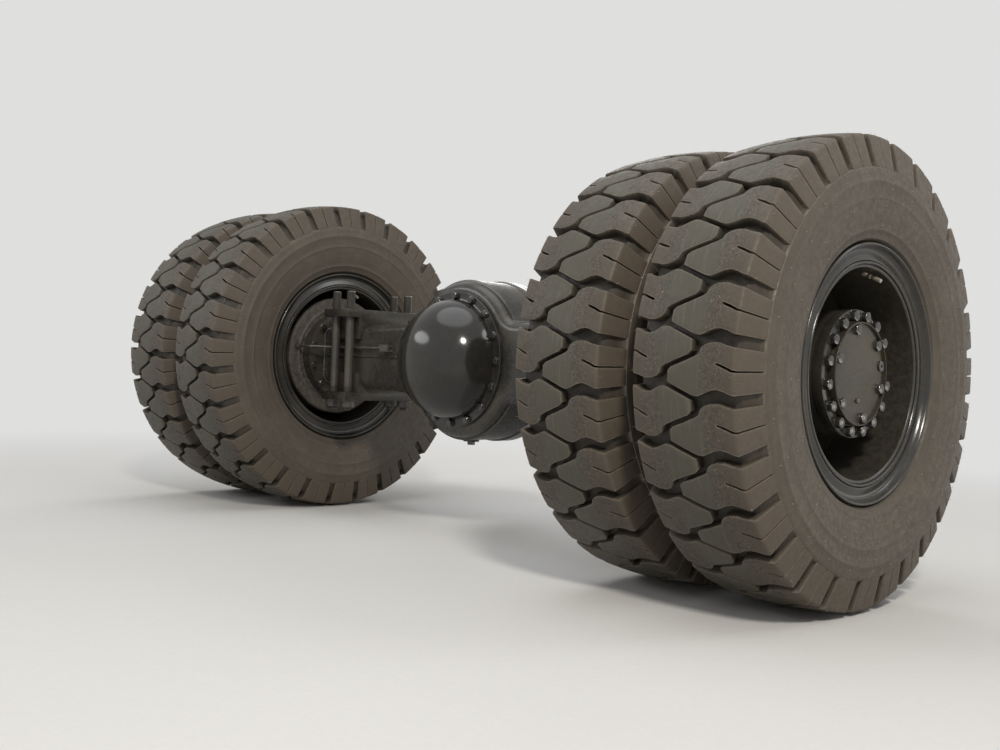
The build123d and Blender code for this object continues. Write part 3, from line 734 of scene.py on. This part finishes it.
def tyreAttributes(mesh, pinPoints):
    # depth below the tread's surface and place across it, for the rubber's finish
    co = np.array([v.co for v in mesh.vertices], float)
    radius = np.hypot(co[:, 0], co[:, 2]) / mm
    width = np.abs(co[:, 1]) / mm
    nearest = np.empty(len(co), int)
    batch = 4000
    for start in range(0, len(co), batch):
        part = slice(start, start + batch)
        gap = np.hypot(width[part, None] - surface[None, :, 0], radius[part, None] - surface[None, :, 1])
        nearest[part] = gap.argmin(1)
    a, r, heading = surface[nearest].T
    depth = -((width - a) * np.sin(heading) + (radius - r) * np.cos(heading)) / tread["depth"]
    across = nearest / tread["crownEnd"]
    wall = (radius < tread["sidewall"]["below"]) & (width > tread["sidewall"]["beyond"])
    across[wall] = tyreMarks["onSidewall"]
    across[:pinPoints] = tyreMarks["onHair"]
    depth[wall] = depth[:pinPoints] = 0
    return {"depth": np.clip(depth, 0, 1), "across": across}


def fourWheels():
    # name, body, plane and outward side of each wheel
    rows = []
    for end, side in ends.items():
        for kind in kinds:
            low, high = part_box(f"{end}_{kind}_tyre")
            rows.append((f"{end}_{kind}", f"{end}_wheels", (low.y + high.y) / 2, side if kind == "outer" else -side))
    return rows


wheels = fourWheels()
tyrePhases = {"right_outer": 204.5, "right_inner": 204.5, "left_outer": 97.0, "left_inner": 63.0}  # degrees
tyreMesh, pinPoints = tyreTile()
tyreFacts = tyreAttributes(tyreMesh, pinPoints)
for wheel, body, plane, _ in wheels:
    turned = Matrix.Rotation(-math.radians(tyrePhases[wheel]), 4, "Y")
    bm = copiesOf(tyreMesh, [Matrix.Translation((0, plane, axleHeight)) @ turned])
    makePiece(bm, f"{wheel}_tyre_tread", body, "tyre_rubber", "tyreRubber", (f"{wheel}_tyre",), "tyres", tyreFacts)
print("tyres made:", len(tyreMesh.vertices), "vertices each")


rimParts = {  # a section is (radius, place) in millimetres from the wheel's plane, towards its loose ring
    "rim_rolled": {"replaces": ("rim",), "rounding": 0.0012, "finish": "barrelPaint", "section": [
        (257, -108), (289, -108), (308, -118), (308, -131), (305.5, -135), (301, -135), (299, -131), (297, -124),
        (283, -117), (249, -117), (249, -90), (214, -181), (150.3, -181), (150.3, -167), (208, -167), (249, -62),
        (249, 114), (252, 117), (257, 117)]},
    "flange_ring": {"replaces": ("side_ring",), "rounding": 0.0012, "finish": "rimPaint", "section": [
        (257.3, 108.2), (289, 108), (308, 118), (308, 130), (306.5, 133.5), (304, 134.8), (301.5, 133.8),
        (299.5, 130), (297, 123.5), (293.5, 117.8), (289.5, 115.2), (284, 115), (276, 117.4), (268, 120.2),
        (266.3, 120), (265.6, 116), (257.3, 116)]},
    "lock_ring": {"replaces": (), "rounding": 0.0004, "finish": "rimPaint", "section": [
        (257.3, 116.4), (257.3, 119), (258.6, 121.2), (261, 122.2), (263.6, 121.6), (264.9, 119.6), (265, 116.4)]},
}
for wheel, body, plane, outward in wheels:
    for name, part in rimParts.items():
        bm = ringPiece(part["section"], part["rounding"], roundness["rim"], outward)
        bmesh.ops.translate(bm, verts=bm.verts, vec=(0, plane, 0))
        makePiece(bm, f"{wheel}_{name}", body, "rim_paint", part["finish"],
                  [f"{wheel}_{node}" for node in part["replaces"]])
print("rims made")


dome = {"centre": -0.107, "radius": 0.190, "depth": 0.168, "flange": 0.216, "seat": -0.095, "edge": 0.0015,
        "fillet": 0.004, "bands": 30}


def domePiece():
    centre, radius, flange = dome["centre"], dome["radius"], dome["flange"]
    edge, fillet, bands = dome["edge"], dome["fillet"], dome["bands"]
    points = [(0.0, dome["seat"]), (flange, dome["seat"]), (flange, centre + edge), (flange - edge, centre),
              (radius + fillet, centre), (radius + fillet / 4, centre - fillet / 4), (radius, centre - fillet)]
    for band in range(1, bands + 1):
        a = math.pi / 2 * band / bands
        points.append((radius * math.cos(a), centre - fillet - (dome["depth"] - fillet) * math.sin(a)))
    bm = bmesh.new()
    verts = [bm.verts.new((x, 0, r)) for r, x in points]
    for a, b in zip(verts, verts[1:]):
        bm.edges.new((a, b))
    spin(bm, (1, 0, 0), roundness["dome"])
    drop(bm)
    makePiece(bm, "rear_dome_bowl", "axle", "axle_paint", "domePaint", ("rear_dome",))


domePiece()


valve = {
    "seat": 0.249, "start": 0.073, "lean": 24.0, "turn": 76.0, "root": 0.012, "lift": 0.0002,
    "stem": [(0, 0), (0.0042, 0), (0.0042, 0.024), (0.0054, 0.025), (0.0054, 0.030), (0.0038, 0.031),
             (0.0038, 0.038), (0.0050, 0.039), (0.0052, 0.046), (0.0052, 0.058), (0.0046, 0.060), (0, 0.0605)],
    "boss": [(0, 0), (0.0100, 0), (0.0095, 0.002), (0.0070, 0.004), (0, 0.004)],
}


def valvePiece(wheel, body, plane, outward):
    # a leaning stem and its boss, both on the rim's well
    lean = math.radians(valve["lean"])
    way = Vector((-math.sin(lean), math.cos(lean) * outward, 0))
    stem = bmesh.new()
    turnedSolid(stem, valve["stem"], "small")
    origin = Vector((valve["seat"], valve["start"] * outward, 0)) - way * valve["root"]
    bmesh.ops.transform(stem, matrix=facing(origin, way), verts=stem.verts)
    boss = bmesh.new()
    turnedSolid(boss, valve["boss"], "small")
    origin = (valve["seat"] - valve["lift"], valve["start"] * outward, 0)
    addMesh(stem, asMesh(boss, "boss"), facing(origin, (-1, 0, 0)))
    turned = Matrix.Translation((0, plane, axleHeight)) @ Matrix.Rotation(-math.radians(valve["turn"]), 4, "Y")
    bmesh.ops.transform(stem, matrix=turned, verts=stem.verts)
    makePiece(stem, f"{wheel}_valve_stem", body, "valve_metal", "valveNickel", (f"{wheel}_valve",))


for wheel in wheels:
    valvePiece(*wheel)


clampStud = {"radius": 0.015, "pitch": 0.0035, "threadAbove": 0.068, "threadBelow": 0.085, "nutFlats": 0.046,
             "nut": 0.026, "nutTurn": 0.3, "washer": 0.004, "washerRadius": 0.0285, "washerEdge": 0.001,
             "tip": 0.010, "across": 0.128, "along": 0.042, "centre": 0.580}


def studTile(low, high):
    # a stud threaded at both ends, with its nut and washer below the saddle
    spec = clampStud
    r, pitch, washer = spec["radius"], spec["pitch"], spec["washer"]
    points = [(0, low), (r - pitch, low), (r, low + pitch)]
    for start, end in ((low + pitch, low + spec["threadBelow"]), (high - spec["threadAbove"], high - pitch)):
        turns = threadTurns(r, start, int((end - start) / pitch), pitch, *threadForms["clamp"])
        points += [(r, start), *turns, (r, end)]
    bm = bmesh.new()
    turnedSolid(bm, points + [(r - pitch, high), (0, high)], "thread")
    face = low + spec["tip"] + spec["nut"]
    nut = bmesh.new()
    hexHead(nut, spec["nutFlats"], spec["nut"] - washer)
    addMesh(bm, asMesh(nut, "nut"), facing((0, 0, face - washer), (0, 0, -1), spec["nutTurn"]))
    out, edge = spec["washerRadius"], spec["washerEdge"]
    turnedSolid(bm, [(0, face), (out, face), (out, face - washer + edge), (out - edge, face - washer),
                     (0, face - washer)], "nutWasher")
    return asMesh(bm, "studTile")


for end, side in ends.items():
    low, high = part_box(f"{end}_clamp_studs")
    tile = studTile(low.z, high.z)
    places = []
    for x in (-clampStud["across"], clampStud["across"]):
        for y in (-clampStud["along"], clampStud["along"]):
            origin = (x, side * (clampStud["centre"] + y), 0)
            places.append(Matrix.Translation(origin) @ Matrix.Rotation(random.uniform(0, 1), 4, "Z"))
    makePiece(copiesOf(tile, places), f"{end}_clamp_studs_threaded", "axle", "bolt_steel", "studPaint",
              (f"{end}_clamp_studs",), "bolts")
print("clamp studs made")


axlePart = ("axle", "axle_paint", "axlePaint")
weld = {"step": 0.004, "flange": 0.0085, "seam": 0.0050, "radius": 0.8, "ripple": 0.28, "uneven": 0.06}
arm = {"end": 0.738, "halfDepth": 0.095, "halfHeight": 0.098, "round": 0.030, "seamStart": 0.285, "seamGap": 0.01}


def weldBead(name, points, width, closed):
    # a rippled bead along a path of points
    curve = bpy.data.curves.new(name, "CURVE")
    curve.dimensions = "3D"
    curve.bevel_depth = width
    curve.bevel_resolution = 2
    spline = curve.splines.new("POLY")
    spline.points.add(len(points) - 1)
    for n, point in enumerate(points):
        spline.points[n].co = (*point, 1)
        uneven = random.uniform(-weld["uneven"], weld["uneven"])
        spline.points[n].radius = weld["radius"] + weld["ripple"] * (n % 2) + uneven
    spline.use_cyclic_u = closed
    curve.use_fill_caps = not closed
    holder = bpy.data.objects.new(name, curve)
    mesh = bpy.data.meshes.new_from_object(holder)
    bm = bmesh.new()
    bm.from_mesh(mesh)
    closeUp(bm)
    bpy.data.objects.remove(holder)
    makePiece(bm, name, *axlePart, (), "welds")


def armLoop(y):
    # points round the arm's section at y, evenly spaced
    x, z = arm["halfDepth"], arm["halfHeight"]
    bm = bmesh.new()
    verts = [bm.verts.new(corner) for corner in ((x, 0, z), (-x, 0, z), (-x, 0, -z), (x, 0, -z))]
    bm.faces.new(verts)
    bevel(bm, verts, arm["round"], "VERTICES", 8)
    loop = [v.co.copy() for v in bm.faces[:][0].verts]
    bm.free()
    points = []
    for a, b in zip(loop, loop[1:] + loop[:1]):
        count = max(1, round((b - a).length / weld["step"]))
        points += [a.lerp(b, n / count) for n in range(count)]
    return [(p.x, y, p.z + axleHeight) for p in points]


for end, side in ends.items():
    weldBead(f"{end}_flange_weld", armLoop(side * (arm["end"] - 0.001)), weld["flange"], True)
    count = int((arm["end"] - arm["seamGap"] - arm["seamStart"]) / weld["step"])
    along = [side * (arm["seamStart"] + weld["step"] * n) for n in range(count)]
    for face, x in (("rear", -arm["halfDepth"]), ("front", arm["halfDepth"])):
        weldBead(f"{end}_{face}_seam_weld", [(x, y, axleHeight) for y in along], weld["seam"], False)
print("weld beads made")


softened = {  # node, edge radius in metres, body, slot, finish
    "axle_housing": (0.0015, *axlePart),
    "diff_carrier": (0.0015, *axlePart),
    "pinion_cage": (0.0010, *axlePart),
    "input_flange": (0.0008, "drive_flange", "axle_paint", "axlePaint"),
}
for end in ends:
    softened |= {
        f"{end}_chassis_pad": (0.0020, *axlePart),
        f"{end}_clamp_saddle": (0.0020, *axlePart),
        f"{end}_spindle": (0.0015, *axlePart),
        f"{end}_hub": (0.0015, f"{end}_wheels", "hub_paint", "hubPaint"),
        f"{end}_hub_ring": (0.0018, f"{end}_wheels", "hub_paint", "hubPaint"),
        f"{end}_hub_cover": (0.0009, f"{end}_wheels", "cover_cast", "coverCast"),
        f"{end}_brake_drum": (0.0015, f"{end}_wheels", "drum_iron", "drumIron"),
    }
# the flats of the spindle's seats have room within those of the turning hub
bearingSeat = {"from": 0.055, "to": 0.0755, "room": 0.0004}


def softenedCopy(node, radius, body, slot, finish):
    # a CAD piece with its sharp edges bevelled
    bm = bmesh.new()
    bm.from_mesh(nodes[node].data)
    bmesh.ops.remove_doubles(bm, verts=bm.verts, dist=2e-5)
    for v in bm.verts if node.endswith("spindle") else ():
        reach = math.hypot(v.co.x, v.co.z - axleHeight)
        if bearingSeat["from"] < reach < bearingSeat["to"]:
            less = 1.0 - bearingSeat["room"] / reach
            v.co = (v.co.x * less, v.co.y, axleHeight + (v.co.z - axleHeight) * less)
    bmesh.ops.dissolve_limit(bm, angle_limit=math.radians(0.5), verts=bm.verts, edges=bm.edges,
                             use_dissolve_boundaries=False)
    least = math.radians(sharpAngles["cad"])
    sharp = [e for e in bm.edges if len(e.link_faces) == 2 and e.calc_face_angle(0) > least]
    bevel(bm, sharp, radius, "EDGES")
    splitLargeFaces(bm)
    makePiece(bm, node + "_softened", body, slot, finish, (node,))


for node, row in softened.items():
    softenedCopy(node, *row)
print("softened:", len(softened))


plate = {  # the section is (radius, place) in millimetres from the middle, the rest is in metres and degrees
    "section": [(88.3, 782), (170, 782), (174, 779), (179, 779), (183, 782), (204, 782), (212, 783), (217, 788),
                (217, 814), (213, 814), (213, 792), (88.3, 792)], "rounding": 0.0012,
    "bolt": {"flats": 0.013, "height": 0.007, "washer": 0.0015}, "boltPlaces": (0.194, (80, 100, 260, 280)),
    "grommet": [(0, -0.001), (0.011, -0.001), (0.011, 0.0015), (0.009, 0.003), (0.005, 0.003), (0.004, 0.0018),
                (0, 0.0018)],
    "grommetPlaces": (0.196, (20, 200)),
}


def backingPiece(end, side):
    bm = ringPiece(plate["section"], plate["rounding"], roundness["plate"], side)
    face = plate["section"][0][1] * mm
    grommet = bmesh.new()
    turnedSolid(grommet, plate["grommet"], "small")
    rows = ((boltTile(plate["bolt"]), *plate["boltPlaces"]), (asMesh(grommet, "grommet"), *plate["grommetPlaces"]))
    for mesh, radius, angles in rows:
        for angle in angles:
            origin = onCircle(radius, angle, side * face)
            addMesh(bm, mesh, facing(origin, (0, -side, 0), random.uniform(0, 1)))
    makePiece(bm, f"{end}_backing_plate_pressed", "axle", "drum_iron", "drumIron", (f"{end}_brake_backing",))


for end, side in ends.items():
    backingPiece(end, side)


nodeFinishes = {  # the first one found in a node's name
    "bolts": "boltPaint", "nuts": "boltPaint", "studs": "studPaint", "plugs": "boltPaint", "tyre": "tyreRubber",
    "valve": "valveNickel", "pipe": "pipeZinc", "hub_cover": "coverCast", "drum": "drumIron", "backing": "drumIron",
    "hub": "hubPaint", "rim": "rimPaint", "side_ring": "rimPaint",
}
for name, piece in nodes.items():
    finish = next((f for key, f in nodeFinishes.items() if key in name), "axlePaint")
    for slot in piece.material_slots:
        slot.material = finishes[finish]
    piece.data.shade_smooth()
    piece.data.set_sharp_from_angle(angle=math.radians(sharpAngles["cad"]))
print("CAD pieces finished:", len(nodes))


studio = {  # fade is where the floor goes over into the pale surroundings, in metres from the middle
    "pale": (0.74, 0.74, 0.73, 1), "soft": (0.82, 0.83, 0.84, 1), "softStrength": 0.42,
    "floor": ((0.60, 0.59, 0.57), (0.68, 0.67, 0.65)), "stain": (0.57, 0.56, 0.54), "stainShare": 0.3,
    "roughness": 0.85, "fade": (1.5, 5.0), "radius": 40, "gap": 0.0005,
}


def floorMaterial():
    material, tree = newMaterial("floorConcrete")
    place = objectPlace(tree)
    fine = noise(tree, place, 90.0, 6.0, 0.65)
    wide = noise(tree, place, 1.3, 5.0, 0.55)
    colour = mixColour(tree, fine, *studio["floor"])
    colour = mixColour(tree, times(tree, wide, studio["stainShare"]), colour, studio["stain"])
    near = add(tree, "BsdfPrincipled", None, Base_Color=colour, Roughness=studio["roughness"])
    far = add(tree, "Emission", None, Color=studio["pale"], Strength=1.0)
    above = mixShader(tree, between(tree, lengthOf(tree, place), *studio["fade"]), near, far)
    below = add(tree, "BsdfTransparent")  # open to views from below
    both = mixShader(tree, add(tree, "NewGeometry").outputs["Backfacing"], above, below)
    add(tree, "OutputMaterial", None, Surface=both.outputs[0])
    return material


def makeFloor():
    bm = bmesh.new()
    bmesh.ops.create_circle(bm, cap_ends=True, segments=96, radius=studio["radius"])
    bmesh.ops.translate(bm, verts=bm.verts, vec=(0, 0, groundHeight - studio["gap"]))
    mesh = asMesh(bm, "floor")
    mesh.materials.append(floorMaterial())
    floor = newObject("floor", mesh)


def makeWorld():
    # pale where the camera sees it or it is mirrored, softer as light
    world = bpy.data.worlds.new("studio")
    bpy.context.scene.world = world
    world.use_nodes = True
    tree = world.node_tree
    tree.nodes.clear()
    rays = add(tree, "LightPath").outputs
    soft = add(tree, "Background", None, Color=studio["soft"], Strength=studio["softStrength"])
    pale = add(tree, "Background", None, Color=studio["pale"], Strength=1.0)
    seen = mathNode(tree, "MAXIMUM", rays["Is Camera Ray"], rays["Is Glossy Ray"])
    seen = mathNode(tree, "MAXIMUM", seen, rays["Is Transmission Ray"])
    add(tree, "OutputWorld", None, Surface=mixShader(tree, seen, soft, pale).outputs[0])


makeFloor()
makeWorld()

lamps = {  # place, what it faces, size in metres, power in watts, colour
    "keyLamp": {"place": (-3.0, -4.2, 3.3), "target": (0, -1.1, -0.2), "size": (0.8, 0.8), "power": 200,
                "colour": (1, 0.95, 0.87)},
    "skyLamp": {"place": (-0.6, 0.2, 4.4), "target": (0, 0, 0), "size": (4.6, 4.6), "power": 80,
                "colour": (0.94, 0.97, 1)},
    "rearLamp": {"place": (-3.9, 3.2, 2.2), "target": (0, 0.2, -0.2), "size": (3.4, 1.4), "power": 50,
                 "colour": (1, 1, 1)},
    "sideLamp": {"place": (2.8, -3.6, 3.6), "target": (0, -1.0, -0.2), "size": (2.4, 1.6), "power": 40,
                 "colour": (0.95, 0.97, 1)},
    "frontLamp": {"place": (3.8, 2.6, 2.4), "target": (0.2, 0.4, -0.2), "size": (2.6, 1.6), "power": 60,
                  "colour": (1, 0.98, 0.95)},
    "groundLamp": {"place": (2.9, -4.2, -0.42), "target": (0, -1.4, -0.2), "size": (3.0, 0.6), "power": 9,
                   "colour": (1, 0.88, 0.7)},
}
for name, lamp in lamps.items():
    light = bpy.data.lights.new(name, "AREA")
    light.shape = "ELLIPSE"
    light.size, light.size_y = lamp["size"]
    light.energy = lamp["power"]
    light.color = lamp["colour"]
    holder = newObject(name, light)
    way = Vector(lamp["target"]) - Vector(lamp["place"])
    holder.matrix_world = Matrix.Translation(lamp["place"]) @ way.to_track_quat("-Z", "Y").to_matrix().to_4x4()

# the camera as fitted to the photograph
view = {"place": (-2.3536, -2.5836, -0.1789), "forward": (0.68874, 0.72495, -0.00872),
        "up": (-0.02267, 0.03356, 0.99918), "lens": 38.65, "sensor": 36.0, "clip": (0.05, 200)}
camera = bpy.data.cameras.new("photoCamera")
camera.lens, camera.sensor_width, camera.sensor_fit = view["lens"], view["sensor"], "HORIZONTAL"
camera.clip_start, camera.clip_end = view["clip"]
holder = newObject("photoCamera", camera)
back = -Vector(view["forward"]).normalized()
up = Vector(view["up"])
across = up.cross(back).normalized()
up = back.cross(across)
holder.matrix_world = Matrix.Translation(view["place"]) @ Matrix((across, up, back)).transposed().to_4x4()
bpy.context.scene.camera = holder
bpy.context.scene.view_settings.view_transform = "Standard"
print("stage, lamps and camera made")
